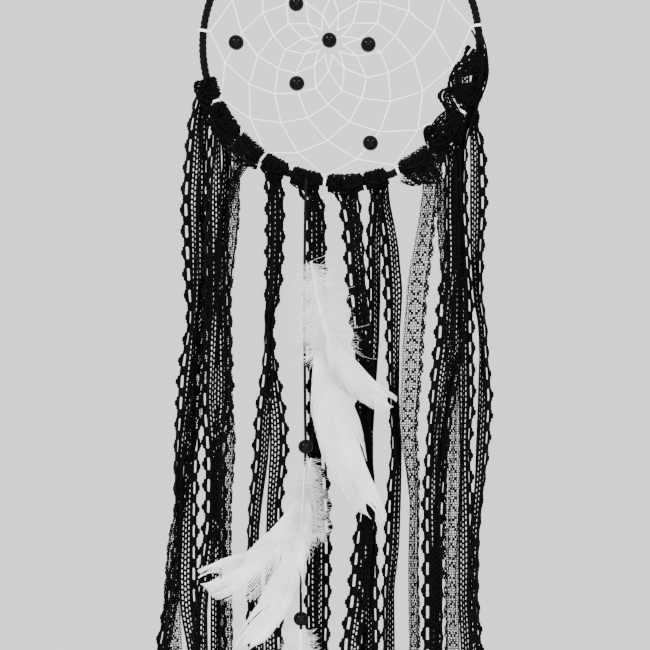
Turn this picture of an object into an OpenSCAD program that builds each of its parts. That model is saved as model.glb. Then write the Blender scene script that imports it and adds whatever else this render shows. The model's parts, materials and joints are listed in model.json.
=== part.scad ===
// Dream catcher: a wrapped hoop with a thread web and beads, lace strips knotted along
// its lower half, and a front strand that carries beads and feathers.
// Millimetres. +Z is up, the front faces -Y, and the origin is the middle of the hoop's
// tube at its top, where the piece hangs.

/* [Hoop] */
// Diameter over the wrapped hoop
hoop_d = 152.4; // [140:0.2:165]
// Diameter of the wire ring inside the wrap
ring_wire_d = 3; // [2.4:0.1:3.4]
// Thickness of the cord wrap on the wire
wrap_t = 0.65; // [0.5:0.05:0.8]

/* [Web] */
// Diameter of the web thread
thread_d = 0.6; // [0.5:0.05:0.7]
// Diameter of the knots where threads meet
thread_knot_d = 1.4; // [1.3:0.05:1.5]
// Diameter of the bend where the next round pulls a thread inwards
thread_bend_d = 1.1; // [1:0.05:1.2]
// Sideways shift of the web's middle
web_shift_x = -6.7; // [-8:0.1:-5]
// Upward shift of the web's middle
web_shift_z = 2; // [0:0.1:3]

/* [Beads] */
// Diameter of a web bead
web_bead_d = 8.5; // [7.6:0.1:8.6]
// Diameter of a bead on the front strand
strand_bead_d = 8; // [7:0.1:8.4]
// Diameter of a web bead's hole
web_bead_hole_d = 1.2; // [1.1:0.05:1.6]

/* [Lace] */
// Thickness of a lace tail
lace_t = 0.8; // [0.6:0.05:0.9]
// Distance between the layers of lace, front to back
layer_gap = 3; // [2.6:0.1:3.2]
// Thickness of the lace knots on the hoop
knot_t = 3; // [2.4:0.1:3.2]

/* [Front strand] */
// Diameter of the strand's cord
cord_d = 1.5; // [1.2:0.1:1.6]
// How far the strand hangs in front of the hoop's middle
strand_y = -7.2; // [-7.6:0.1:-7]
// Thickness of a feather
feather_t = 1; // [0.6:0.1:1]

/* [Hidden] */

$fn = 32;
tube_r = ring_wire_d / 2 + wrap_t;
hoop_r = hoop_d / 2 - tube_r;
fit_gap = 0.02;
// Turns a thread's seam away from the threads beside it
seam_turn = 50;

// Web: anchors on the hoop in degrees from +X, anticlockwise, and the radius of each round
anchors = [8, 41, 75, 108, 141, 174, 204, 235, 263, 294, 331];
anchor_n = len(anchors);
web_radii = [hoop_r - tube_r - thread_d - thread_knot_d / 2 - 0.05, 62, 52, 42.5, 33, 26, 15.5, 7.5];
web_rounds = len(web_radii) - 1;
// Each web bead: round, knot, side of the thread (0 or 1), place along it from 0 to 1
web_beads = [[1, 4, 1, 0.68], [4, 1, 1, 0.5], [5, 8, 0, 0.6], [4, 4, 1, 0.5], [1, 8, 0, 0.6]];
// The middle bead hangs on a thread between these two knots of the last round
middle_ends = [2, 8];

// Lace strips, left to right: [middle angle on the hoop, half the angle it covers]
strip_arcs = [
    [198.5, 4.2], [213, 7.3], [228.3, 6], [241.5, 5.2], [255.5, 6.2],
    [272, 7.4], [284.8, 4.6], [303, 7], [320, 8.3], [345.5, 12.3]
];
split_knot = 5;    // the strand is tied through the middle of this strip's knot
split_half = 0.6;  // degrees left open on each side of that middle
thread_reach = 5;  // degrees past a knot within which a web thread can cross it
thread_room = 0.2;
// Layer of each tail, counted front to back, and its route down as [x, z, width] from
// the hoop's middle
tails = [
    ["1a", -0.5, [[-78, -41, 9], [-81, -83, 11], [-80, -126, 9.5], [-79.5, -147, 6], [-82.5, -174, 11.5],
        [-87, -222, 5], [-87, -262, 5], [-91, -297, 8], [-96, -324, 8], [-98, -372, 10]]],
    ["1b", 0.5, [[-73, -41, 6], [-73.5, -83, 7], [-73, -136, 7], [-78, -174, 7], [-79, -211, 8],
        [-80.5, -243, 9], [-81, -286, 12], [-80.5, -305, 11], [-77.5, -324, 9], [-75, -386, 11]]],
    ["2a", -1.5, [[-67.5, -51, 6], [-69, -83, 10], [-69, -136, 11], [-71, -190, 10], [-68.5, -222, 11],
        [-69, -254, 11], [-73, -281, 8], [-75.5, -302, 9], [-76, -345, 11], [-74, -398, 12]]],
    ["2b", 1.5, [[-60.5, -62, 5], [-62.5, -83, 6], [-63.5, -115, 8], [-62.5, -152, 9], [-62, -190, 10],
        [-65.5, -222, 9], [-65.5, -265, 9], [-65.5, -297, 9], [-65.5, -324, 9], [-66, -362, 11]]],
    ["3a", -2.5, [[-56.5, -72, 5], [-57.5, -94, 7.5], [-59.5, -115, 6.5], [-61, -137, 5], [-60.5, -158, 5.5],
        [-61, -190, 6], [-59.5, -211, 7.5], [-61.5, -243, 7], [-61.5, -276, 6], [-61, -340, 8]]],
    ["3b", 2.5, [[-58, -72, 5], [-63, -94, 6], [-70, -137, 7], [-77, -179, 7], [-82, -222, 6],
        [-85, -243, 6], [-90.5, -265, 6], [-91.5, -297, 9], [-90.5, -324, 10], [-89.5, -380, 12]]],
    ["4a", -0.5, [[-36, -78, 10], [-36, -104, 10], [-37, -131, 9], [-39, -147, 4.5], [-39, -163, 5],
        [-40, -179, 8], [-42.5, -201, 9], [-43.5, -222, 9], [-46, -243, 8], [-47.5, -262, 7], [-46, -330, 10]]],
    ["4b", 0.5, [[-34.5, -78, 9], [-34.5, -104, 9.5], [-35.5, -131, 8.5], [-38, -147, 4.5], [-37.5, -163, 5],
        [-36, -179, 8.5], [-33, -201, 10.5], [-32.5, -217, 11], [-35, -243, 9], [-36, -276, 9], [-35, -346, 11]]],
    ["5a", 0.5, [[-14.5, -84, 11], [-14, -104, 11], [-13.5, -136, 10], [-14, -179, 9], [-15, -222, 8],
        [-15.5, -265, 8], [-16, -297, 8], [-15.5, -324, 9], [-14, -368, 11]]],
    ["5b", 1.5, [[-12.5, -84, 9], [-12, -120, 10], [-12, -179, 9], [-11.5, -222, 10], [-9.5, -254, 10],
        [-9.5, -286, 9], [-10, -324, 8], [-8, -350, 10]]],
    ["6a", -1.5, [[3.5, -86, 10], [6, -104, 11.5], [7.5, -131, 11.5], [11, -158, 12], [12, -179, 11.5],
        [11, -201, 8], [13, -217, 6], [14, -233, 7.5], [11, -265, 11.5], [8, -297, 12], [4.5, -320, 12],
        [3, -392, 12]]],
    ["6b", -0.5, [[7.5, -86, 7], [11, -131, 7], [13, -179, 9], [12.5, -201, 6], [14.5, -233, 6],
        [16, -265, 8], [16.5, -297, 9], [17, -318, 9], [16, -372, 11]]],
    ["7a", 0.5, [[18.5, -84, 7], [17, -104, 8], [17.5, -131, 7], [17, -158, 7], [15, -190, 7],
        [14, -222, 6], [15, -254, 7], [13, -297, 9], [12, -350, 11]]],
    ["7b", 1.5, [[22, -84, 8], [25.5, -104, 10], [27.5, -131, 11], [27.5, -158, 8], [28, -190, 6],
        [29.5, -217, 6.5], [28, -243, 9], [27, -270, 9], [25, -292, 7], [25, -324, 7], [24, -376, 10]]],
    ["8a", -2.5, [[48.5, -70, 8], [46.5, -88, 8.5], [43.5, -110, 11], [41, -126, 13], [38.5, -158, 13.5],
        [37.5, -179, 11], [35.5, -206, 11], [37.5, -222, 8.5], [39, -243, 5.5], [38.5, -276, 5.5],
        [39, -318, 6], [38.5, -366, 10]]],
    ["8b", 2.5, [[53.5, -70, 4], [54, -94, 5], [56, -115, 5], [59, -152, 6], [60, -190, 7],
        [60, -211, 8.5], [59.5, -233, 9.5], [59, -265, 9], [59.5, -297, 8], [60, -324, 8], [59, -356, 11]]],
    ["9a", -1.5, [[58, -60, 7], [58, -83, 8], [58, -115, 9], [56, -136, 11], [54.5, -158, 11.5],
        [51.5, -179, 10], [48.5, -211, 7], [47.5, -243, 10], [48, -276, 11], [48, -324, 12], [47, -388, 12]]],
    ["9b", -0.5, [[63, -57, 6], [63.5, -83, 7], [63.5, -115, 7], [64, -136, 8], [63, -163, 8],
        [56, -201, 7], [53, -243, 6], [52, -276, 6], [51.5, -324, 7], [53, -360, 10]]],
    ["10a", 0.5, [[65.5, -51, 5], [65, -83, 6], [66, -115, 7], [67.5, -136, 8], [67.5, -163, 9],
        [68, -190, 10], [67, -217, 7], [67.5, -243, 9], [68, -276, 10], [67.5, -297, 9], [69.5, -324, 11],
        [70, -400, 12]]],
    ["10b", 1.5, [[71.5, -39, 3.5], [74, -56, 9], [74.5, -83, 10], [73.5, -110, 7.5], [74, -136, 5],
        [76.5, -150, 4.5], [77, -166, 5], [78, -190, 8.5], [76.5, -217, 8], [75, -236, 6], [72.5, -262, 6],
        [71.5, -297, 7], [73, -324, 8], [74, -382, 11]]]
];

// Front strand: its cord's route as [x, y, z] from the hoop's middle
cord_route = [
    [-18.5, -6.8, -72], [-18.7, -7.1, -76], [-19, -7.2, -84], [-19.4, -7.2, -110], [-19.5, -7.2, -140],
    [-19.4, -7.2, -170], [-19.2, -7.2, -195], [-18.9, -7.2, -214], [-19.4, -7.2, -230], [-20.6, -7.2, -250],
    [-21.4, -7.2, -270], [-21.5, -7.2, -290], [-21.4, -7.2, -306], [-21.4, -7.2, -313]
];
strand_hitch_angle = 255.5;
strand_knot_z = -315;
strand_beads = [[-18.9, -214.5], [-21.4, -306]];
// Feathers: [layer from the cord, front is negative, outline as [x, z] from the hoop's middle]
feathers = [
    [-2, [[-15, -110], [-12, -112], [-9, -136], [-2, -164], [11, -183], [27, -193], [24, -196],
        [5, -191], [-10, -180], [-17, -158], [-26, -135], [-22, -116]]],
    [-1, [[-17, -114], [-11, -113], [-4, -150], [6, -190], [17, -217], [23, -248], [18, -254],
        [5, -251], [-5, -236], [-12, -201], [-17, -160], [-21, -130]]],
    [-1, [[-22, -220.5], [-16, -220.5], [-17, -254], [-26, -275], [-48, -289], [-67, -290], [-70, -277],
        [-55, -266], [-36, -258], [-29, -240]]],
    [-2, [[-20, -224], [-15, -230], [-17, -265], [-21, -297], [-31, -310], [-45, -324], [-58, -326],
        [-61, -318], [-56, -297], [-42, -281], [-29, -254]]],
    [1, [[-17, -221], [-11, -227], [-5, -243], [-5.5, -265], [-10, -278], [-16, -276], [-19, -254]]],
    [-1, [[-24, -319], [-18, -319], [-8, -330], [-5, -345], [-10, -360], [-20, -370], [-28, -362],
        [-35, -348], [-40, -330], [-31, -321]]],
    [1, [[-23, -319], [-17, -320], [-10, -334], [-12, -352], [-20, -364], [-31, -369], [-35, -360],
        [-33, -344], [-28, -324]]]
];
feather_layer = 2;

// A point on the web: round n, knot k; round 0 lies on the hoop
function knot_angle(n, k) =
    n == 0 ? anchors[k % anchor_n] + 360 * floor(k / anchor_n)
           : (knot_angle(n - 1, k) + knot_angle(n - 1, k + 1)) / 2;
function web_pull(n) = 1 - web_radii[n] / web_radii[0];
function web_knot(n, k) = [
    web_shift_x * web_pull(n) + web_radii[n] * cos(knot_angle(n, k)),
    web_shift_z * web_pull(n) + web_radii[n] * sin(knot_angle(n, k))
];
function mix_points(p, q, t) = p + (q - p) * t;
function bead_start(b) = web_knot(b[0], b[1] + b[2]);
function bead_end(b) = web_knot(b[0] + 1, b[1]);

module in_hoop_frame() {
    translate([0, 0, -hoop_r]) children();
}

// Part of a ring with a round section about the hoop's middle
module ring_arc(middle, half, outer_r, inner_r) {
    rotate([90, 0, 0]) rotate([0, 0, middle - half]) rotate_extrude(angle = 2 * half)
        translate([hoop_r, 0]) difference() {
            circle(outer_r);
            circle(inner_r);
        }
}

// A small ring tied round the hoop's tube
module tied_ring(angle, thread_r, around_r) {
    rotate([0, -angle, 0]) translate([hoop_r, 0, 0]) rotate_extrude()
        translate([around_r + thread_r, 0]) circle(thread_r, $fn = 16);
}

module thread_between(p, q, across = thread_d) {
    way = q - p;
    translate([p[0], 0, p[1]]) rotate([0, atan2(way[0], way[1]), 0])
        rotate([0, 0, seam_turn]) cylinder(h = norm(way), d = across, $fn = 16);
}

// A round lump where threads meet; facing is the way its seam turns, clear of the threads
module thread_knot(p, d, facing) {
    translate([p[0], 0, p[1]]) rotate([90, 0, 0]) rotate([0, 0, facing]) sphere(d = d, $fn = 16);
}

module hoop_ring() {
    color("gray") in_hoop_frame() rotate([90, 0, 0]) rotate_extrude($fn = 96)
        translate([hoop_r, 0]) circle(ring_wire_d / 2);
}

module hoop_wrap() {
    color("#1a1a1a") in_hoop_frame() rotate([90, 0, 0]) rotate_extrude($fn = 96)
        translate([hoop_r, 0]) difference() {
            circle(tube_r);
            circle(ring_wire_d / 2 + fit_gap);
        }
}

// One round of the thread, from its knots on the round outside it to the bends that the
// next round pulls in
module web_round(i) {
    n = i - 1;
    color("white") in_hoop_frame() union() {
        for (k = [0:anchor_n - 1]) {
            thread_between(web_knot(n, k), web_knot(n + 1, k));
            thread_between(web_knot(n, k + 1), web_knot(n + 1, k));
            thread_knot(web_knot(n, k), thread_knot_d, knot_angle(n, k));
            thread_knot(web_knot(n + 1, k), thread_bend_d, knot_angle(n + 1, k) + 180);
        }
        if (i == web_rounds)
            thread_between(web_knot(web_rounds, middle_ends[0]), web_knot(web_rounds, middle_ends[1]));
    }
}

module web_hitches() {
    color("white") in_hoop_frame() for (a = anchors) tied_ring(a, thread_d / 2, tube_r + fit_gap);
}

module threaded_bead(place, along, bead_d, hole_d) {
    translate([place[0], 0, place[1]]) rotate([0, atan2(along[0], along[1]), 0]) difference() {
        sphere(d = bead_d, $fn = 48);
        cylinder(h = bead_d + 1, d = hole_d, center = true);
    }
}

module web_bead(i) {
    b = web_beads[i - 1];
    color("black") in_hoop_frame()
        threaded_bead(mix_points(bead_start(b), bead_end(b), b[3]), bead_end(b) - bead_start(b),
            web_bead_d, web_bead_hole_d);
}

module middle_bead() {
    p = web_knot(web_rounds, middle_ends[0]);
    q = web_knot(web_rounds, middle_ends[1]);
    color("black") in_hoop_frame() threaded_bead((p + q) / 2, q - p, web_bead_d, web_bead_hole_d);
}

// The strip's loop round the hoop; the front strand is tied in the middle of strip 5's
module lace_knot(i) {
    arc = strip_arcs[i - 1];
    color("#111111") in_hoop_frame() difference() {
        if (i == split_knot) {
            for (side = [-1, 1]) ring_arc(arc[0] + side * (arc[1] / 2 + split_half), arc[1] / 2 - split_half,
                tube_r + knot_t, tube_r + fit_gap);
        } else {
            ring_arc(arc[0], arc[1], tube_r + knot_t, tube_r + fit_gap);
        }
        // Room for the web's threads that start beside the knot
        for (k = [0:anchor_n - 1]) for (j = [k, k + 1])
            if (abs(knot_angle(0, j) - arc[0]) < arc[1] + thread_reach)
                thread_between(web_knot(0, j), web_knot(1, k), thread_d + thread_room);
    }
}

module lace_tail(i) {
    route = tails[i][2];
    last = len(route) - 1;
    outline = concat(
        [for (p = route) [p[0] - p[2] / 2, p[1]]],
        [for (j = [last:-1:0]) [route[j][0] + route[j][2] / 2, route[j][1]]]);
    color("#202020") in_hoop_frame() translate([0, tails[i][1] * layer_gap + lace_t / 2, 0])
        rotate([90, 0, 0]) linear_extrude(lace_t) polygon(outline);
}

module strand_hitch() {
    color("black") in_hoop_frame() tied_ring(strand_hitch_angle, cord_d / 2, tube_r + fit_gap);
}

// The cord is a tube of rings swept along its route
cord_sides = 8;
cord_steps = 3;
function cord_point(s) =
    let (j = min(floor(s), len(cord_route) - 2))
    mix_points(cord_route[j], cord_route[j + 1], s - j);
cord_stations = [for (j = [0:(len(cord_route) - 1) * cord_steps]) j / cord_steps];
module strand_cord() {
    rings = [for (s = cord_stations) for (c = [0:cord_sides - 1])
        cord_point(s) + cord_d / 2 * [cos(360 * c / cord_sides), sin(360 * c / cord_sides), 0]];
    ring_n = len(cord_stations);
    walls = [for (j = [0:ring_n - 2]) for (c = [0:cord_sides - 1])
        [j * cord_sides + c, (j + 1) * cord_sides + c,
         (j + 1) * cord_sides + (c + 1) % cord_sides, j * cord_sides + (c + 1) % cord_sides]];
    caps = [[for (c = [0:cord_sides - 1]) c],
        [for (c = [cord_sides - 1:-1:0]) (ring_n - 1) * cord_sides + c]];
    color("black") in_hoop_frame() polyhedron(rings, concat(walls, caps));
}

module strand_knot() {
    color("black") in_hoop_frame() translate([strand_beads[1][0], strand_y, strand_knot_z]) sphere(r = 2);
}

module strand_bead(i) {
    color("black") in_hoop_frame() translate([strand_beads[i - 1][0], strand_y, strand_beads[i - 1][1]])
        difference() {
            sphere(d = strand_bead_d, $fn = 48);
            cylinder(h = strand_bead_d + 1, d = cord_d + 0.5, center = true);
        }
}

module feather(i) {
    f = feathers[i - 1];
    color("white") in_hoop_frame() translate([0, strand_y + f[0] * feather_layer + feather_t / 2, 0])
        rotate([90, 0, 0]) linear_extrude(feather_t) polygon(f[1]);
}

hoop_ring();
hoop_wrap();
web_hitches();
for (i = [1:7]) web_round(i);
for (i = [1:5]) web_bead(i);
middle_bead();  // web_bead_6
for (i = [1:10]) lace_knot(i);
for (i = [0:19]) lace_tail(i);
strand_hitch();
strand_cord();
strand_knot();
for (i = [1:2]) strand_bead(i);
for (i = [1:7]) feather(i);
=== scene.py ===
import json
import math
import random
import bpy
import bmesh
import numpy as np
from mathutils import Matrix, Vector


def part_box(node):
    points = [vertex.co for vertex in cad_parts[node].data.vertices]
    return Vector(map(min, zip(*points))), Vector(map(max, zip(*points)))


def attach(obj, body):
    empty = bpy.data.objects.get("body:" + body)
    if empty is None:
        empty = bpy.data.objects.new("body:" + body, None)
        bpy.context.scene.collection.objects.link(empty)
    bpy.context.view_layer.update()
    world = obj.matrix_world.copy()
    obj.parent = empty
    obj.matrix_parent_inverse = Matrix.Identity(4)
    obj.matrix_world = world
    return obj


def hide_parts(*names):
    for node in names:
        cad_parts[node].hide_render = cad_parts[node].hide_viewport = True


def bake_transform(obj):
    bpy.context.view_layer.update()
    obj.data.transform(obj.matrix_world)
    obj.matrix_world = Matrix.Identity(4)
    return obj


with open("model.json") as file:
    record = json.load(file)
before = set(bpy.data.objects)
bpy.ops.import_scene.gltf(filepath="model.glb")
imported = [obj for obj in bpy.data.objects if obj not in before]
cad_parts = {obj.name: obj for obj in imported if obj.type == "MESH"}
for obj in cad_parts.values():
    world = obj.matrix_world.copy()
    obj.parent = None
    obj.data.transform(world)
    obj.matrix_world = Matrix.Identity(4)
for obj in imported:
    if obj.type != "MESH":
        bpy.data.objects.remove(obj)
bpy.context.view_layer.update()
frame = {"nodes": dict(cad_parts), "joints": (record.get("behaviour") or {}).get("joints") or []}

random.seed(7)
mm = 0.001

# The hoop's own sizes come from its wrap; every place below is in mm from the hoop's middle
wrapLow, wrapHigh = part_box("hoop_wrap")
tubeR = (wrapHigh.y - wrapLow.y) / 2 / mm
hoopR = (wrapHigh.x - wrapLow.x) / 2 / mm - tubeR


def place(x, y, z):
    return Vector((x * mm, y * mm, (z - hoopR) * mm))


def onHoop(degrees, out=0, y=0):
    turn = math.radians(degrees)
    return place((hoopR + out) * math.cos(turn), y, (hoopR + out) * math.sin(turn))


# ---- camera ----
camera = {"side": -8.6, "drop": -149.8, "away": 1.05, "field": 0.348}


def makeCamera():
    data = bpy.data.cameras.new("camera")
    data.sensor_width = 36
    data.lens = 36 * camera["away"] / camera["field"]
    data.clip_start = 0.01
    made = bpy.data.objects.new("camera", data)
    spot = place(camera["side"], 0, camera["drop"])
    made.location = (spot.x, -camera["away"], spot.z)
    made.rotation_euler = (math.radians(90), 0, 0)
    bpy.context.scene.collection.objects.link(made)
    bpy.context.scene.camera = made


makeCamera()
print("camera placed")


# ---- materials ----
class Wire:
    # one output socket of a material; sums written on it add Math nodes
    def __init__(self, tree, socket=None):
        self.tree = tree
        self.socket = socket

    def node(self, kind, settings=None, sockets=None, output=0):
        made = self.tree.nodes.new("ShaderNode" + kind)
        for key, value in (settings or {}).items():
            if key == "stops":
                for i, (position, colour) in enumerate(value):
                    ramp = made.color_ramp.elements
                    stop = ramp[i] if i < 2 else ramp.new(position)
                    stop.position = position
                    stop.color = colour
            else:
                setattr(made, key, value)
        for key, value in (sockets or {}).items():
            if isinstance(value, Wire):
                self.tree.links.new(value.socket, made.inputs[key])
            else:
                made.inputs[key].default_value = value
        return Wire(self.tree, made.outputs[output])

    def maths(self, operation, a, b):
        return self.node("Math", {"operation": operation}, {0: a, 1: b})

    def __add__(self, other):
        return self.maths("ADD", self, other)

    def __radd__(self, other):
        return self.maths("ADD", other, self)

    def __sub__(self, other):
        return self.maths("SUBTRACT", self, other)

    def __rsub__(self, other):
        return self.maths("SUBTRACT", other, self)

    def __mul__(self, other):
        return self.maths("MULTIPLY", self, other)

    def __rmul__(self, other):
        return self.maths("MULTIPLY", other, self)


def grey(value, warm=0.0):
    return (value * (1 + warm), value, value * (1 - warm), 1)


def newMaterial(name, steady):
    material = bpy.data.materials.new(name)
    material.use_nodes = True
    tree = material.node_tree
    shader = tree.nodes["Principled BSDF"]
    for key, value in steady.items():
        shader.inputs[key].default_value = value

    def feed(socket, wire):
        tree.links.new(wire.socket, shader.inputs[socket])

    return material, Wire(tree), feed


def mixColour(wire, factor, a, b):
    return wire.node("Mix", {"data_type": "RGBA"}, {0: factor, 6: a, 7: b}, 2)


def noiseOn(wire, vector, scale, detail=3.0, rough=0.55):
    return wire.node("TexNoise", {}, {"Vector": vector, "Scale": scale, "Detail": detail, "Roughness": rough})


def bumpFrom(wire, height, strength, distance):
    return wire.node("Bump", {}, {"Strength": strength, "Distance": distance, "Height": height})


def suedeFinish():
    # matt split leather: a soft nap whose hollows are painted darker as shade, and paler rubbed spots
    material, wire, feed = newMaterial("blackSuede", {"Sheen Weight": 0.01, "Sheen Roughness": 0.5,
        "Specular IOR Level": 0.04})
    spot = wire.node("TexCoord", output=3)
    nap = noiseOn(wire, spot, 2600, 4, 0.7)
    worn = noiseOn(wire, spot, 90, 3)
    # base colour: the nap term paints shade into the bump's hollows; the worn term is real wear
    feed("Base Color", mixColour(wire, worn * 0.6 + nap * 0.4, grey(0.0008), grey(0.004)))
    feed("Roughness", worn * 0.15 + 0.78)
    feed("Normal", bumpFrom(wire, nap, 0.6, 0.00025))
    return material


def threadFinish():
    # white waxed thread: fine slanting plies and faint soiling
    material, wire, feed = newMaterial("whiteThread", {"Sheen Weight": 0.2, "Specular IOR Level": 0.4})
    spot = wire.node("TexCoord", output=3)
    ply = wire.node("TexWave", {"bands_direction": "DIAGONAL"},
        {"Vector": spot, "Scale": 900, "Distortion": 3.0, "Detail": 2.0}, 1)
    soil = noiseOn(wire, spot, 140, 3)
    feed("Base Color", mixColour(wire, soil, grey(0.95), grey(0.78, 0.02)))
    feed("Roughness", ply * 0.15 + 0.5)
    feed("Normal", bumpFrom(wire, ply, 0.5, 0.00015))
    return material


def beadFinish():
    # dipped black gloss with faint handling marks
    material, wire, feed = newMaterial("glossBlackBead", {"IOR": 1.45, "Specular IOR Level": 0.02,
        "Coat Roughness": 0.1, "Coat IOR": 1.22})
    spot = wire.node("TexCoord", output=3)
    marks = noiseOn(wire, spot, 420, 4, 0.6)
    ripple = noiseOn(wire, spot, 160, 1)
    feed("Base Color", mixColour(wire, marks, grey(0.001), grey(0.004)))
    feed("Roughness", marks * 0.16 + 0.08)
    feed("Coat Weight", marks * 0.15 + 0.2)
    feed("Normal", bumpFrom(wire, ripple, 0.15, 0.0004))
    return material


def yarnFinish(name, dark, light, yarn, depth):
    # worked yarn seen close: strands that follow the lace's own length and width
    material, wire, feed = newMaterial(name, {"Sheen Weight": 0.006, "Sheen Roughness": 0.45,
        "Specular IOR Level": 0.03})
    uv = wire.node("UVMap", {"uv_map": "lace"})
    along = wire.node("TexWave", {"bands_direction": "DIAGONAL"},
        {"Vector": uv, "Scale": yarn, "Distortion": 2.5, "Detail": 2.0, "Detail Scale": 1.5}, 1)
    fuzz = noiseOn(wire, uv, yarn * 2.2, 4, 0.7)
    fade = noiseOn(wire, uv, 0.12, 2)
    strands = along * 0.65 + fuzz * 0.35
    feed("Base Color", mixColour(wire, strands * 0.7 + fade * 0.3, dark, light))
    feed("Roughness", fuzz * 0.15 + 0.78)
    feed("Normal", bumpFrom(wire, strands, 0.8, depth))
    return material


def cordFinish():
    material, wire, feed = newMaterial("blackCord", {"Sheen Weight": 0.01, "Specular IOR Level": 0.05})
    spot = wire.node("TexCoord", output=3)
    ply = wire.node("TexWave", {"bands_direction": "DIAGONAL"},
        {"Vector": spot, "Scale": 520, "Distortion": 1.5, "Detail": 2.0}, 1)
    fuzz = noiseOn(wire, spot, 3000, 3)
    feed("Base Color", mixColour(wire, ply * 0.6 + fuzz * 0.4, grey(0.0008), grey(0.005)))
    feed("Roughness", fuzz * 0.2 + 0.6)
    feed("Normal", bumpFrom(wire, ply, 0.7, 0.0002))
    return material


def featherFinish():
    # soft white with painted grey shade: broad shaded patches and fine shadow streaks between the barbs
    material, wire, feed = newMaterial("whiteFeather", {"Sheen Weight": 0.15, "Specular IOR Level": 0.2,
        "Subsurface Weight": 0.1, "Subsurface Scale": 0.002})
    spot = wire.node("TexCoord", output=3)
    shadePatch = noiseOn(wire, spot, 38, 2)
    streak = noiseOn(wire, spot, 1500, 3, 0.65)
    shade = shadePatch * 0.55 + streak * 0.45
    # the ramp's grey is painted shade on the white feather, not its own colour
    feed("Base Color", wire.node("ValToRGB", {"stops": [(0.32, grey(0.42, 0.004)), (0.66, grey(0.86))]},
        {"Fac": shade}))
    feed("Roughness", streak * 0.15 + 0.5)
    feed("Normal", bumpFrom(wire, streak, 0.3, 0.0001))
    return material


def wireFinish():
    material, wire, feed = newMaterial("ringWire", {"Metallic": 1.0})
    spot = wire.node("TexCoord", output=3)
    grain = noiseOn(wire, spot, 900, 3)
    feed("Base Color", mixColour(wire, grain, grey(0.42), grey(0.6)))
    feed("Roughness", grain * 0.2 + 0.3)
    return material


suede = suedeFinish()
whiteThread = threadFinish()
blackGloss = beadFinish()
cottonYarn = yarnFinish("blackCotton", grey(0.0006), grey(0.0028), 2.6, 0.0003)
netYarn = yarnFinish("sheerNet", grey(0.0008), grey(0.004), 4.0, 0.0001)
blackCord = cordFinish()
whiteFeather = featherFinish()
frame["nodes"]["hoop_ring"].data.materials.clear()
frame["nodes"]["hoop_ring"].data.materials.append(wireFinish())
print("materials made")


# ---- shared making ----
def addPiece(name, data, material, body=None):
    made = bpy.data.objects.new(name, data)
    bpy.context.scene.collection.objects.link(made)
    data.materials.clear()
    data.materials.append(material)
    if body:
        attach(made, body)
    return made


def meshFrom(name, bm, smooth=True):
    data = bpy.data.meshes.new(name)
    for face in bm.faces:
        face.smooth = smooth
    bm.to_mesh(data)
    bm.free()
    return data


def finalMesh(made):
    # the piece's modifiers or bevel become its own mesh
    graph = bpy.context.evaluated_depsgraph_get()
    graph.update()
    return bpy.data.meshes.new_from_object(made.evaluated_get(graph), depsgraph=graph)


def newCurve(name, depth, resolution=1):
    data = bpy.data.curves.new(name, "CURVE")
    data.dimensions = "3D"
    data.bevel_depth = depth * mm
    data.bevel_resolution = resolution
    data.use_fill_caps = True
    return data


def addLine(curve, points, thickness=None, closed=False):
    line = curve.splines.new("POLY")
    line.points.add(len(points) - 1)
    for i, point in enumerate(points):
        line.points[i].co = (*point, 1)
        line.points[i].radius = thickness[i] if thickness else 1
    line.use_cyclic_u = closed


# ---- front strand ----
strand = {
    "route": [(-18.5, -6.8, -72), (-18.7, -7.1, -76), (-19, -7.2, -84), (-19.4, -7.2, -110),
        (-19.5, -7.2, -140), (-19.4, -7.2, -170), (-19.2, -7.2, -195), (-18.9, -7.2, -214),
        (-19.4, -7.2, -230), (-20.6, -7.2, -250), (-21.4, -7.2, -270), (-21.5, -7.2, -290),
        (-21.4, -7.2, -306), (-21.4, -7.2, -313)],
    "thick": 1.5, "tie": 255.5, "tieTurns": 2,
}


def makeStrandCord():
    curve = newCurve("strandCord", strand["thick"] / 2, 3)
    addLine(curve, [place(*p) for p in strand["route"]])
    made = addPiece("strandCord", curve, blackCord, "front_strand")
    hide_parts("strand_cord")
    return made


def makeStrandKnot():
    # an overhand knot drawn tight: three close loops round the cord's end
    curve = newCurve("strandKnot", 0.62, 2)
    low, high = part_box("strand_knot")
    centre = (low + high) / 2
    loops = []
    for i in range(49):
        turn = 2 * math.pi * i / 24
        ring = 1.05 + 0.35 * math.sin(1.5 * turn)
        rise = 0.9 * math.sin(turn * 0.75)
        loops.append(centre + Vector((ring * math.cos(turn), ring * math.sin(turn), rise)) * mm)
    addLine(curve, loops)
    made = addPiece("strandKnot", curve, blackCord, "front_strand")
    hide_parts("strand_knot")
    return made


def makeStrandTie():
    curve = newCurve("strandTie", strand["thick"] / 2, 2)
    steps = 20 * strand["tieTurns"]
    loops = []
    for i in range(steps + 1):
        turn = 2 * math.pi * i / 20
        ring = tubeR + 0.8
        along = strand["tie"] + (i / steps - 0.5) * 1.3
        loops.append(onHoop(along, ring * math.cos(turn), -ring * math.sin(turn)))
    addLine(curve, loops)
    made = addPiece("strandTie", curve, blackCord, "hoop")
    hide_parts("strand_hitch")


# ---- beads ----
beads = {"web": [("web_bead_%d" % i, "web_bead_%d" % i) for i in range(1, 7)],
    "strand": [("strand_bead_%d" % i, "front_strand") for i in range(1, 3)],
    "arc": 22, "round": 48, "webHole": 1.2, "strandHole": 2.0}


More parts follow.
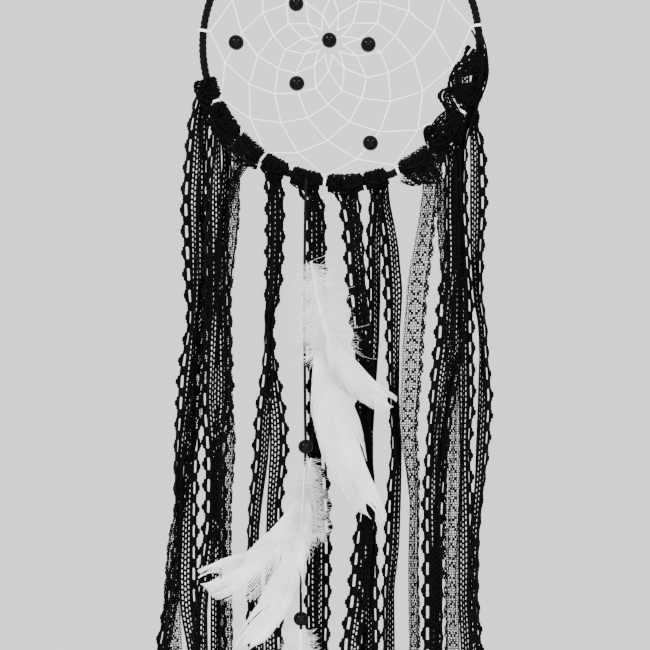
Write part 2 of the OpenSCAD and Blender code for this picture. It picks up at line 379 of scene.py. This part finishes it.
def beadMesh(name, centre, axis, wide, hole):
    # a turned bead: the outside's arc and the bore, spun about its own axis
    half = wide / 2
    reach = math.acos(hole / 2 / half)
    bm = bmesh.new()
    profile = []
    for i in range(beads["arc"] + 1):
        lift = -reach + 2 * reach * i / beads["arc"]
        profile.append(bm.verts.new((half * math.cos(lift) * mm, 0, 0.97 * half * math.sin(lift) * mm)))
    edges = [bm.edges.new(pair) for pair in zip(profile, profile[1:])]
    edges.append(bm.edges.new((profile[-1], profile[0])))
    bmesh.ops.spin(bm, geom=profile + edges, cent=(0, 0, 0), axis=(0, 0, 1), angle=2 * math.pi,
        steps=beads["round"], use_merge=True, use_duplicate=False)
    bmesh.ops.remove_doubles(bm, verts=bm.verts, dist=1e-7)
    bmesh.ops.recalc_face_normals(bm, faces=bm.faces)
    bmesh.ops.rotate(bm, verts=bm.verts, cent=(0, 0, 0),
        matrix=Vector((0, 0, 1)).rotation_difference(axis).to_matrix())
    bmesh.ops.translate(bm, verts=bm.verts, vec=centre)
    return meshFrom(name, bm)


def makeBeads():
    axes = {j["child"]: Vector(j["axis"]) for j in frame["joints"]}
    made = []
    for node, body in beads["web"] + beads["strand"]:
        low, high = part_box(node)
        wide = (high.y - low.y) / mm
        onStrand = body == "front_strand"
        axis = Vector((0, 0, 1)) if onStrand else axes[body]
        hole = beads["strandHole" if onStrand else "webHole"]
        bead = addPiece(node + "Gloss", beadMesh(node, (low + high) / 2, axis, wide, hole), blackGloss,
            body)
        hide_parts(node)
        made.append(bead)
    return made


# ---- hoop wrap ----
wrap = {"turns": 155, "steps": 8, "around": 14, "groove": 0.32, "dome": 0.12, "uneven": 0.08}


def makeHoopWrap():
    # flat lacing wound round the wire: a ring of tube with a seam that climbs one turn at a time
    bm = bmesh.new()
    bmesh.ops.create_circle(bm, segments=wrap["around"], radius=tubeR * mm,
        matrix=Matrix.Translation((hoopR * mm, 0, 0)))
    bmesh.ops.spin(bm, geom=bm.verts[:] + bm.edges[:], cent=(0, 0, 0), axis=(0, 1, 0),
        angle=2 * math.pi, steps=wrap["turns"] * wrap["steps"], use_merge=True, use_duplicate=False)
    bmesh.ops.remove_doubles(bm, verts=bm.verts, dist=1e-7)
    bmesh.ops.recalc_face_normals(bm, faces=bm.faces)
    uneven = [random.uniform(-1, 1) for _ in range(wrap["turns"] + 1)]
    for vertex in bm.verts:
        x, y, z = vertex.co / mm
        turn = math.atan2(z, x) % (2 * math.pi)
        spoke = Vector((math.cos(turn), 0, math.sin(turn)))
        middle = spoke * hoopR
        out = Vector((x, y, z)) - middle
        around = math.atan2(out.y, out.dot(spoke)) / (2 * math.pi)
        phase = wrap["turns"] * turn / (2 * math.pi) + around
        across = phase % 1
        edge = min(across, 1 - across)
        sink = wrap["groove"] * math.exp(-((edge / 0.1) ** 2))
        sink += wrap["dome"] * (1 - math.sin(math.pi * across))
        sink += wrap["uneven"] * (uneven[int(phase) % wrap["turns"]] + 1) / 2
        vertex.co = (middle + out.normalized() * (tubeR - sink)) * mm + Vector((0, 0, -hoopR * mm))
    made = addPiece("hoopWrap", meshFrom("hoopWrap", bm), suede, "hoop")
    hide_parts("hoop_wrap")


# ---- web ----
web = {"anchors": [8, 41, 75, 108, 141, 174, 204, 235, 263, 294, 331],
    "radii": [70.5, 62, 52, 42.5, 33, 26, 15.5, 7.5], "shift": (-6.7, 2), "middle": (2, 8),
    "thick": 0.75, "hitch": 0.45, "hitchTurns": 2}


def knotAngle(n, k):
    anchors = web["anchors"]
    if n == 0:
        return anchors[k % len(anchors)] + 360 * (k // len(anchors))
    return (knotAngle(n - 1, k) + knotAngle(n - 1, k + 1)) / 2


def webKnot(n, k):
    pull = 1 - web["radii"][n] / web["radii"][0]
    turn = math.radians(knotAngle(n, k))
    return place(web["shift"][0] * pull + web["radii"][n] * math.cos(turn), 0,
        web["shift"][1] * pull + web["radii"][n] * math.sin(turn))


def makeWeb():
    curve = newCurve("webThread", web["thick"] / 2, 1)
    count = len(web["anchors"])
    last = len(web["radii"]) - 1
    depth = Vector((0, 0.25 * mm, 0))
    for n in range(last):
        for k in range(count):
            for outer in (webKnot(n, k), webKnot(n, k + 1)):
                inner = webKnot(n + 1, k)
                slack = depth * random.uniform(-1, 1)
                early = outer.lerp(inner, 0.33) + slack
                late = outer.lerp(inner, 0.67) + slack
                addLine(curve, [outer, early, late, inner])
    addLine(curve, [webKnot(last, web["middle"][0]), webKnot(last, web["middle"][1])])
    for n in range(1, last + 1):
        for k in range(count):
            # a half hitch: the thread's small loop over the thread of the round before
            spot = webKnot(n, k)
            out = (spot - place(*[web["shift"][0], 0, web["shift"][1]])).normalized()
            for side in (-0.5, 0.5):
                across = Vector((-out.z, 0, out.x))
                base = spot + across * side * 0.55 * mm
                ring = [base + (out * math.cos(a) + Vector((0, 1, 0)) * math.sin(a)) * web["hitch"] * mm
                    for a in [2 * math.pi * i / 7 for i in range(7)]]
                addLine(curve, ring, closed=True)
    for angle in web["anchors"]:
        steps = 16 * web["hitchTurns"]
        loops = []
        for i in range(steps + 1):
            turn = 2 * math.pi * i / 16
            ring = tubeR + web["thick"] / 2
            along = angle + (i / steps - 0.5) * 1.1
            loops.append(onHoop(along, -ring * math.cos(turn), ring * math.sin(turn)))
        addLine(curve, [webKnot(0, web["anchors"].index(angle))] + loops)
    made = addPiece("webThread", curve, whiteThread, "hoop")
    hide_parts("web_hitches", *["web_round_%d" % i for i in range(1, 8)])


# ---- lace ----
# Columns across a period of each lace, in mm, and rows along it
cotton = {"columns": [1.1, 0.85, 0.85, 0.85, 0.85, 0.85, 1.0, 1.0, 1.55, 1.1, 1.0, 1.0], "rows": 12,
    "pitch": 11.5, "holes": {1: 0, 3: 1, 5: 0}, "eyelet": 8, "scallop": 10, "picot": 11,
    "thick": 0.62, "jitter": 0.1, "smooth": 1, "share": None}
net = {"columns": [0.9] + [1.2] * 7 + [0.8, 0.8, 0.9], "rows": 8, "pitch": 10.4, "thread": 0.55,
    "thick": 0.3, "jitter": 0.3, "smooth": 0, "share": 0.85}


def cottonOpen(column, row):
    # staggered small holes, a long eyelet in each period, and picots beyond it
    row %= cotton["rows"]
    if column in cotton["holes"]:
        return row % 3 != 0
    if column == cotton["eyelet"]:
        return 3 <= row <= 9
    if column == cotton["scallop"]:
        return not 3 <= row <= 9
    if column == cotton["picot"]:
        return not 5 <= row <= 7
    return False


def netFilled(column, row):
    # petals, stalks and the heavier scalloped border stay closed
    row %= net["rows"]
    flower = {(2, 2), (2, 5), (3, 1), (3, 6), (4, 0), (5, 1), (5, 6), (6, 2), (6, 5)}
    if (column, row) in flower:
        return True
    return column >= 8 and (row + column) % 3 != 0


def netOpen(column, row):
    row %= net["rows"]
    return column == 10 and row in (0, 1, 7)


def laceGrid(kind, start, length, lay):
    # a run of lace, made flat with x across and y along in mm, and then laid by a function
    bm = bmesh.new()
    uvLayer = bm.loops.layers.uv.new("lace")
    columns = kind["columns"]
    rowLength = kind["pitch"] / kind["rows"]
    rows = max(4, round(length / rowLength))
    rowLength = length / rows
    bmesh.ops.create_grid(bm, x_segments=len(columns), y_segments=rows, size=0.5)
    openTest = cottonOpen if kind is cotton else netOpen
    firstRow = round(start / rowLength)
    spots = {}
    for f in bm.faces:
        middle = f.calc_center_median()
        spots[f] = (int((middle.x + 0.5) * len(columns)), firstRow + int((middle.y + 0.5) * rows))
    edgeAt = np.concatenate([[0], np.cumsum(columns)])
    for v in bm.verts:
        column = (v.co.x + 0.5) * len(columns)
        along = (v.co.y + 0.5) * length
        if kind is cotton:
            # the middle holes sit half a step along from the others
            along += 1.5 * rowLength * math.exp(-((column - 3.5) / 1.0) ** 2)
        v.co = (float(np.interp(column, range(len(edgeAt)), edgeAt)) + random.uniform(-1, 1) * kind["jitter"],
            along + random.uniform(-1, 1) * kind["jitter"], 0)
    if kind is net:
        meshes = [f for f in bm.faces if not netFilled(*spots[f]) and not openTest(*spots[f])]
    bmesh.ops.delete(bm, geom=[f for f in bm.faces if openTest(*spots[f])], context="FACES")
    if kind is net:
        bmesh.ops.inset_individual(bm, faces=meshes, thickness=kind["thread"] / 2, use_even_offset=False)
        bmesh.ops.delete(bm, geom=meshes, context="FACES_ONLY")
    for f in bm.faces:
        f.smooth = True
        for corner in f.loops:
            corner[uvLayer].uv = (corner.vert.co.x, corner.vert.co.y + start)
    for v in bm.verts:
        v.co = lay(v.co.x / edgeAt[-1], min(max(v.co.y, 0), length))
    return meshFrom("laceRun", bm)


def hangRibbon(whole, kind, start, length, way, picotSide=1):
    # lays a run of lace along a way; way(s) gives centre, across, outwards, squeeze, waves and phase
    wide = sum(kind["columns"])

    def lay(u, s):
        across = (u - 0.5) * picotSide
        centre, side, out, squeeze, waves, phase = way(s)
        lift = math.sqrt(max(0, 2 * (1 - squeeze * squeeze))) * wide / (2 * math.pi * waves)
        return centre + (side * across * wide * squeeze
            + out * lift * math.sin(2 * math.pi * waves * (across + 0.5) + phase)) * mm

    run = laceGrid(kind, start, length, lay)
    whole.from_mesh(run)
    bpy.data.meshes.remove(run)


tailLook = {"smoothing": 9, "neckWidth": 5.0, "sway": 0.7, "twist": 14}


def tailRoute(node, neck):
    # the tail's middle line and width come from its CAD outline, smoothed to hang softly
    corners = {}
    data = frame["nodes"][node].data
    for v in data.vertices:
        corners.setdefault(round(v.co.z, 5), []).append(v.co.x)
    levels = sorted(corners, reverse=True)
    z = np.array([neck.z] + levels)
    x = np.array([neck.x] + [(max(corners[k]) + min(corners[k])) / 2 for k in levels])
    w = np.array([tailLook["neckWidth"] * mm] + [max(corners[k]) - min(corners[k]) for k in levels])
    fine = np.arange(z[0], z[-1], -mm)
    reach = tailLook["smoothing"]
    kernel = np.hanning(2 * reach + 3)[1:-1]
    kernel /= kernel.sum()
    padded = [np.pad(np.interp(-fine, -z, values), reach, mode="edge") for values in (x, w)]
    soft = [np.convolve(values, kernel, "valid") for values in padded]
    low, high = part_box(node)
    steps = np.hypot(np.diff(soft[0]), np.diff(fine))
    return {"z": fine, "x": soft[0], "w": soft[1], "y": (low.y + high.y) / 2,
        "s": np.concatenate([[0], np.cumsum(steps)]), "neckY": neck.y}


def tailWay(route, kind, seed):
    wide = sum(kind["columns"])
    drift = random.Random(seed)
    shifts = [drift.uniform(0, 6.28) for _ in range(4)]

    def way(s):
        at = s * mm
        x, z, w = [float(np.interp(at, route["s"], route[key])) for key in ("x", "z", "w")]
        ease = min(1, s / 45)
        sway = tailLook["sway"] * math.sin(s / 27 + shifts[0]) * ease
        y = route["neckY"] * (1 - ease) + route["y"] * ease + sway * mm
        twist = math.radians(tailLook["twist"]) * math.sin(s / 38 + shifts[1]) * ease
        squeeze = min(0.985, max(0.3, w / mm / wide))
        side = Vector((math.cos(twist), math.sin(twist), 0))
        out = Vector((-math.sin(twist), math.cos(twist), 0))
        waves = 1.5 + 0.5 * math.sin(s / 60 + shifts[2])
        return Vector((x, y, z)), side, out, squeeze, waves, shifts[3] + s / 33

    return way


# Each strip: its middle angle and half angle on the hoop, which side its picots face, and its joint body
strips = [
    {"arc": (198.5, 4.2), "sides": (-1, 1), "body": "lace_left", "kind": cotton,
        "loops": [(195, 205, 3.2, 0.6, 0.6)]},
    {"arc": (213, 7.3), "sides": (-1, 1), "body": "lace_left", "kind": cotton,
        "loops": [(205, 222, 3.5, 1, 0.6)]},
    {"arc": (228.3, 6), "sides": (1, -1), "body": "lace_left", "kind": net,
        "loops": [(220, 234, 4, 1, 0.8), (222, 235, 2, 2.5, 0.6)]},
    {"arc": (241.5, 5.2), "sides": (-1, 1), "body": "lace_inner_left", "kind": cotton},
    {"arc": (255.5, 6.2), "sides": (-1, 1), "body": "lace_middle", "kind": cotton},
    {"arc": (272, 7.4), "sides": (-1, 1), "body": "lace_inner_right", "kind": cotton},
    {"arc": (284.8, 4.6), "sides": (-1, -1), "body": "lace_inner_right", "kind": cotton},
    {"arc": (303, 7), "sides": (1, -1), "body": "lace_right", "kind": net,
        "loops": [(295, 312, 6, 1, 0.85), (297, 313, 3, 2.5, 0.7), (299, 310, 8.5, 0.5, 0.8)]},
    {"arc": (320, 8.3), "sides": (-1, 1), "body": "lace_right", "kind": cotton,
        "loops": [(312, 330, -3.5, 2, 0.6), (312, 319, -6, 1, 0.4)]},
    {"arc": (345.5, 12.3), "sides": (1, 1), "body": "lace_right", "kind": cotton,
        "loops": [(358, 336, -5.5, 2, 0.75), (352, 334, -9, 1, 0.55), (340, 328, -10, 2, 0.6)]},
]
knotLook = {"wrapStart": 3.3, "wrapEnd": 5.0, "bight": 5.7, "turns": 1.4, "pleats": 4}


def knotWays(strip):
    # two wraps over the hoop, side by side, the bight that crosses in front of them, and slack loops
    middle, half = strip["arc"]
    span = math.radians(half) * hoopR
    ways = []
    for side in (-1, 1):
        around = 2 * math.pi * knotLook["turns"]
        mean = (knotLook["wrapStart"] + knotLook["wrapEnd"]) / 2
        length = around * mean

        def wrapWay(s, side=side, length=length, around=around):
            t = s / length
            turn = math.radians(20) + around * t
            ring = knotLook["wrapStart"] + (knotLook["wrapEnd"] - knotLook["wrapStart"]) * t
            at = middle + side * half * (0.5 + 0.05 * math.sin(5 * t))
            spoke = Vector((math.cos(math.radians(at)), 0, math.sin(math.radians(at))))
            along = Vector((-spoke.z, 0, spoke.x))
            out = spoke * math.cos(turn) + Vector((0, -1, 0)) * math.sin(turn)
            squeeze = min(0.95, span / sum(cotton["columns"]))
            return onHoop(at) + out * ring * mm, along, out, squeeze, knotLook["pleats"], 3 * t

        ways.append((length, wrapWay))
    length = 2 * span * 1.15

    def bightWay(s):
        t = s / length
        at = middle + half * (2 * t - 1) * 0.92
        spoke = Vector((math.cos(math.radians(at)), 0, math.sin(math.radians(at))))
        turn = math.radians(62 - 14 * math.sin(math.pi * t))
        out = spoke * math.cos(turn) + Vector((0, -1, 0)) * math.sin(turn)
        side = spoke * -math.sin(turn) + Vector((0, -1, 0)) * math.cos(turn)
        ring = knotLook["bight"] - 1.6 * abs(2 * t - 1) ** 3
        return onHoop(at) + out * ring * mm, side, out, 0.5, 2.5, 4 * t

    ways.append((length, bightWay))
    for i, (start, end, bulge, depth, squeeze) in enumerate(strip.get("loops", [])):

        def centreAt(t, start=start, end=end, bulge=bulge, depth=depth):
            lean = math.sin(math.pi * t)
            return onHoop(start + (end - start) * t, 2.6 * math.copysign(1, bulge) + bulge * lean,
                -3 - depth * lean)

        spots = [centreAt(j / 20) for j in range(21)]
        length = sum((b - a).length for a, b in zip(spots, spots[1:])) / mm

        def loopWay(s, centreAt=centreAt, length=length, squeeze=squeeze, i=i):
            t = s / length
            heading = (centreAt(min(1, t + 0.03)) - centreAt(max(0, t - 0.03))).normalized()
            side = heading.cross(Vector((0, -1, 0))).normalized()
            return centreAt(t), side, Vector((0, -1, 0)), squeeze, 2.0, 2 * i + 3 * t

        ways.append((length, loopWay))
    return ways


def makeStrip(number, strip):
    kind = strip["kind"]
    bm = bmesh.new()
    total = 0
    for length, way in knotWays(strip):
        hangRibbon(bm, kind, total, length, way)
        total += length
    middle, half = strip["arc"]
    for i, letter in enumerate("ab"):
        node = "lace_tail_%d%s" % (number, letter)
        low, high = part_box(node)
        toward = 0.45 * half * (-1 if i == 0 else 1)
        neck = onHoop(middle + toward, 3.4, -1.2 if i == 0 else 1.2)
        route = tailRoute(node, neck)
        length = route["s"][-1] / mm
        hangRibbon(bm, kind, total, length, tailWay(route, kind, number * 10 + i), strip["sides"][i])
        total += length
    name = "laceStrip%d" % number
    made = bpy.data.objects.new(name, meshFrom(name, bm))
    bpy.context.scene.collection.objects.link(made)
    if kind["smooth"]:
        smoother = made.modifiers.new("smooth", "SUBSURF")
        smoother.levels = smoother.render_levels = kind["smooth"]
    wall = made.modifiers.new("thick", "SOLIDIFY")
    wall.thickness = kind["thick"] * mm
    wall.offset = 0
    data = finalMesh(made)
    bpy.data.objects.remove(made)
    sheer = kind is net
    made = addPiece(name, data, netYarn if sheer else cottonYarn)
    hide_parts("lace_knot_%d" % number, "lace_tail_%da" % number, "lace_tail_%db" % number)
    knotFoot = Vector((0, 0, (onHoop(middle).z - 5 * mm)))
    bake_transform(made)
    wide = sum(kind["columns"]) * mm
    area = kind["share"] and kind["share"] * wide * total * mm
    total * mm
    print("lace strip", number, "flat length", round(total), "mm", len(data.polygons), "faces")


# ---- feathers ----
# Each feather: its shaft's route, how far its barbs reach to each side, and where its down ends
feathers = [
    {"shaft": [(-16, -116), (-11.2, -141.8), (-3.2, -163.2), (9.5, -179), (22, -187.5)],
        "reach": (9, 9), "down": 0.4, "fluff": 1200, "fluffReach": 17, "stray": 1.6, "bow": 2.0},
    {"shaft": [(-14.4, -120.4), (-10.7, -157.8), (-4.8, -200.6), (3.7, -226), (13, -244)],
        "reach": (10.5, 15.5), "down": 0.26, "fluff": 800, "fluffReach": 15, "stray": 1.6, "bow": 2.5},
    {"shaft": [(-16, -220.4), (-21.9, -246.1), (-32.6, -264.8), (-47, -275), (-63, -281)],
        "reach": (15, 15), "down": 0.18, "fluff": 350, "fluffReach": 12, "bow": 2.5},
    {"shaft": [(-19.3, -225), (-22.5, -264.8), (-29, -288), (-38, -305), (-48, -318)],
        "reach": (15, 7.5), "down": 0.22, "fluff": 420, "fluffReach": 13, "bow": 2.0},
    {"shaft": [(-17.7, -221), (-14.4, -243.4), (-12.9, -262)],
        "reach": (6, 9), "down": 1.0, "fluff": 520, "fluffReach": 11, "bow": 1.0},
    {"shaft": [(-21.4, -311.5), (-21.6, -328), (-20.5, -338), (-20, -347)],
        "reach": (12, 12), "down": 0.5, "fluff": 1500, "fluffReach": 13, "bow": 3.0},
    {"shaft": [(-22, -317), (-26, -332), (-29, -345)],
        "reach": (8, 9), "down": 0.5, "fluff": 600, "fluffReach": 13, "bow": 1.5},
]
barbs = {"gap": 0.27, "thick": 0.23, "points": 7, "fluffThick": 0.085, "fluffPoints": 7,
    "turn": 0.92, "bend": 0.45, "split": 47}


def shaftLine(points, count):
    # a smooth line through the shaft's points, by a running cubic
    pts = [Vector((x, 0, z)) for x, z in points]
    pts = [pts[0] * 2 - pts[1]] + pts + [pts[-1] * 2 - pts[-2]]
    out = []
    for i in range(count + 1):
        t = i / count * (len(pts) - 3)
        k = min(int(t), len(pts) - 4)
        t -= k
        a, b, c, d = pts[k:k + 4]
        out.append(0.5 * (2 * b + (c - a) * t + (2 * a - 5 * b + 4 * c - d) * t * t
            + (3 * b - a - 3 * c + d) * t ** 3))
    return out


def makeFeather(number, feather):
    dice = random.Random(40 + number)
    low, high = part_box("feather_%d" % number)
    y = (low.y + high.y) / 2 / mm
    line = shaftLine(feather["shaft"], 60)
    lengths = [0]
    for a, b in zip(line, line[1:]):
        lengths.append(lengths[-1] + (b - a).length)
    total = lengths[-1]

    def shaftAt(t):
        k = min(int(t * 60), 59)
        spot = line[k].lerp(line[k + 1], t * 60 - k)
        heading = (line[min(k + 2, 60)] - line[max(k - 1, 0)]).normalized()
        return spot + Vector((0, y - feather["bow"] * math.sin(math.pi * t), 0)), heading

    curve = newCurve("feather%d" % number, 1, 0)
    quill = [shaftAt(i / 24)[0] for i in range(25)]
    addLine(curve, [place(*p) for p in quill], [0.55 * (1 - i / 27) for i in range(25)])
    for side in (-1, 1):
        reach = feather["reach"][0 if side < 0 else 1]
        first = feather["down"]
        count = int(total * (1 - first) / barbs["gap"])
        lean = 0
        for i in range(count):
            if i % barbs["split"] == 0:
                lean = dice.uniform(-0.06, 0.06)
            t = first + (1 - first) * i / max(1, count)
            along = i / max(1, count)
            base, heading = shaftAt(t)
            across = Vector((heading.z, 0, -heading.x)) * -side
            full = min(1, 0.5 + 4 * along) * (1 - 0.6 * max(0, along - 0.6) / 0.4)
            turn = barbs["turn"] * (1 - 0.35 * along) + lean + dice.uniform(-0.008, 0.008)
            long = reach * full / math.sin(barbs["turn"] - barbs["bend"]) * dice.uniform(0.97, 1.02)
            points = []
            for j in range(barbs["points"]):
                f = j / (barbs["points"] - 1)
                bend = turn - barbs["bend"] * f
                step = heading * math.cos(bend) + across * math.sin(bend)
                lift = Vector((0, -1.5 * full * math.sin(math.pi * f) + 0.2 * side, 0))
                points.append(place(*(base + step * long * f + lift)))
            taper = [barbs["thick"] * (1 - 0.75 * j / (barbs["points"] - 1)) for j in range(barbs["points"])]
            addLine(curve, points, taper)
    for i in range(feather["fluff"]):
        # loose down: long soft barbs that wave and cross
        t = feather["down"] * dice.random() ** 0.8 * 1.15
        base, heading = shaftAt(min(t, 0.98))
        side = dice.choice((-1, 1))
        across = Vector((heading.z, 0, -heading.x)) * -side
        long = dice.uniform(0.45, 1.0) * feather["fluffReach"] * (0.75 + 0.25 * math.sin(math.pi * t))
        if i % 14 == 0:
            long *= feather.get("stray", 1)
        turn = dice.uniform(0.35, 1.6)
        swirl = dice.uniform(-0.9, 0.9)
        rise = dice.uniform(-0.35, 0.35)
        spot = base.copy()
        points = [place(*spot)]
        for j in range(1, barbs["fluffPoints"]):
            f = j / (barbs["fluffPoints"] - 1)
            bend = turn - swirl * f + 0.25 * math.sin(7 * f + i)
            step = heading * math.cos(bend) + across * math.sin(bend) + Vector((0, rise, 0))
            spot = spot + step * long / (barbs["fluffPoints"] - 1)
            points.append(place(*spot))
        steps = barbs["fluffPoints"]
        taper = [barbs["fluffThick"] * (1 - 0.6 * j / steps) for j in range(steps)]
        addLine(curve, points, taper)
    made = bpy.data.objects.new("featherCurve", curve)
    bpy.context.scene.collection.objects.link(made)
    data = finalMesh(made)
    bpy.data.objects.remove(made)
    for face in data.polygons:
        face.use_smooth = True
    piece = addPiece("feather%d" % number, data, whiteFeather, "front_strand")
    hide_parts("feather_%d" % number)
    print("feather", number, len(data.polygons), "faces")
    return piece


# ---- making it all ----
strandCord = makeStrandCord()
strandKnot = makeStrandKnot()
makeStrandTie()
allBeads = makeBeads()
print("strand and beads made")
makeHoopWrap()
makeWeb()
print("hoop and web made")
for number, strip in enumerate(strips, 1):
    makeStrip(number, strip)
allFeathers = [makeFeather(number, feather) for number, feather in enumerate(feathers, 1)]
tuple(place(*strand["route"][0]))
allBeads[6:] + [strandKnot] + allFeathers
print("lace and feathers made")


# ---- floor and light ----
stage = {"floor": -0.62, "size": 1.0, "sky": 0.9, "skyPower": 1.55}


def makeStage():
    bm = bmesh.new()
    bmesh.ops.create_grid(bm, x_segments=1, y_segments=1, size=stage["size"],
        matrix=Matrix.Translation((0, 0, stage["floor"])))
    floor = bpy.data.objects.new("floor", meshFrom("floor", bm, smooth=False))
    bpy.context.scene.collection.objects.link(floor)
    material, _, _ = newMaterial("paleFloor", {"Base Color": grey(0.8), "Roughness": 0.9})
    floor.data.materials.append(material)
    world = bpy.data.worlds.new("softRoom")
    world.use_nodes = True
    world.node_tree.nodes["Background"].inputs["Color"].default_value = grey(stage["sky"])
    world.node_tree.nodes["Background"].inputs["Strength"].default_value = stage["skyPower"]
    bpy.context.scene.world = world


def addLight(name, spot, aim, size, power):
    data = bpy.data.lights.new(name, "AREA")
    data.shape = "RECTANGLE"
    data.size = size[0]
    data.size_y = size[1]
    data.energy = power
    made = bpy.data.objects.new(name, data)
    made.location = spot
    made.rotation_euler = (Vector(aim) - Vector(spot)).to_track_quat("-Z", "Y").to_euler()
    bpy.context.scene.collection.objects.link(made)


makeStage()
addLight("windowLeft", (-0.9, -1.1, 0.75), (0, 0, -0.2), (0.4, 0.4), 42)
addLight("windowRight", (0.8, -1.2, 0.8), (0, 0, -0.2), (0.35, 0.35), 28)
addLight("fillFront", (0.1, -2.2, -0.2), (0, 0, -0.25), (1.4, 1.4), 30)
addLight("backRim", (0.3, 1.4, 0.5), (0, 0, -0.2), (1.0, 1.0), 12)
print("lights placed")
